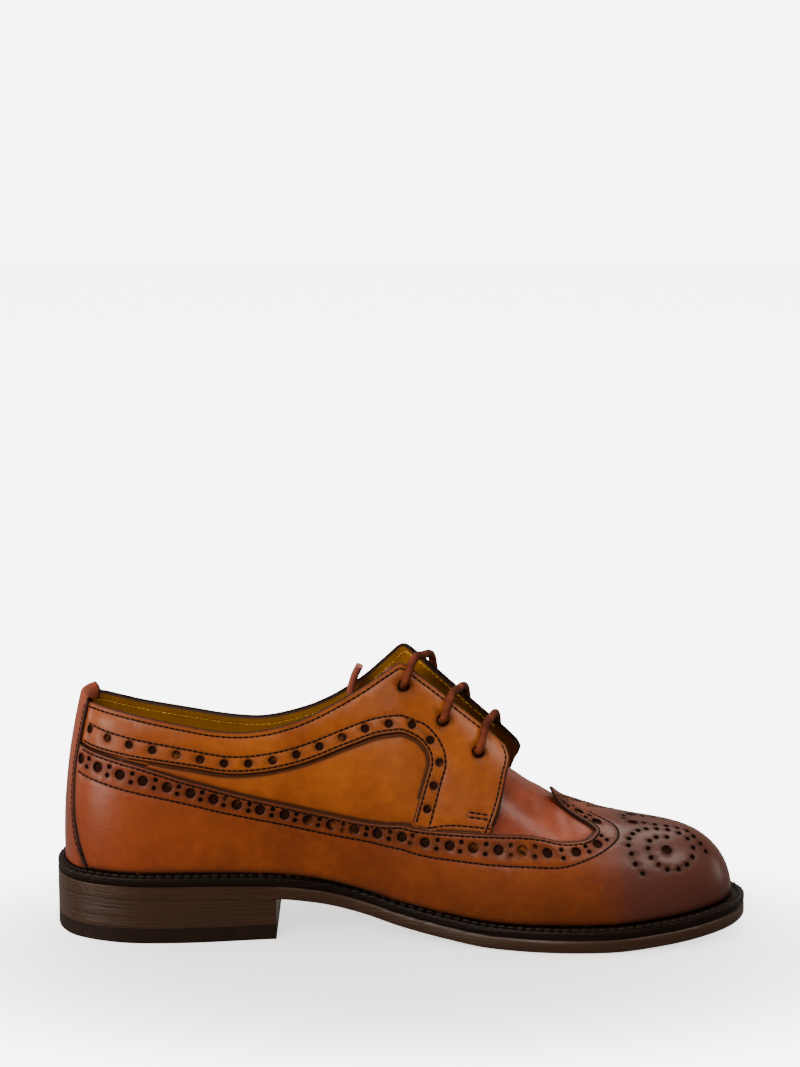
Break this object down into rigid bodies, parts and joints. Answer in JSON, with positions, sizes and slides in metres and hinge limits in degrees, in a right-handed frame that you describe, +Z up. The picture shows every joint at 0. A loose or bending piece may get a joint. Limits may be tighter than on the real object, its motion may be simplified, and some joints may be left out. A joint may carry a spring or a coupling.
{
  "type": "derby shoe",
  "caption": "Left derby dress shoe with a long wing cap, open lacing, stitched welt and stacked heel, standing empty on its sole.",
  "frame": {"origin": "on the floor under the middle of the shoe", "axes": "+X from heel to toe, +Y from the inner to the outer side of a left foot, +Z up"},
  "size_m": [0.268, 0.0902, 0.1095],
  "materials": {
    "upper_leather": "polished",
    "lining_leather": "matte",
    "sole_leather": "satin",
    "heel_rubber": "matte",
    "lace_cotton": "waxed"
  },
  "bodies": {
    "root": {"heel_top_piece": "heel_rubber", "heel_lift_1": "sole_leather", "heel_lift_2": "sole_leather", "heel_lift_3": "sole_leather", "outsole": "sole_leather", "welt": "sole_leather", "insole": "lining_leather", "upper": "upper_leather", "wing_cap": "upper_leather", "back_strip": "upper_leather", "tongue": "upper_leather", "lace": "lace_cotton", "lace_end": "lace_cotton"}
  },
  "joints": []
}
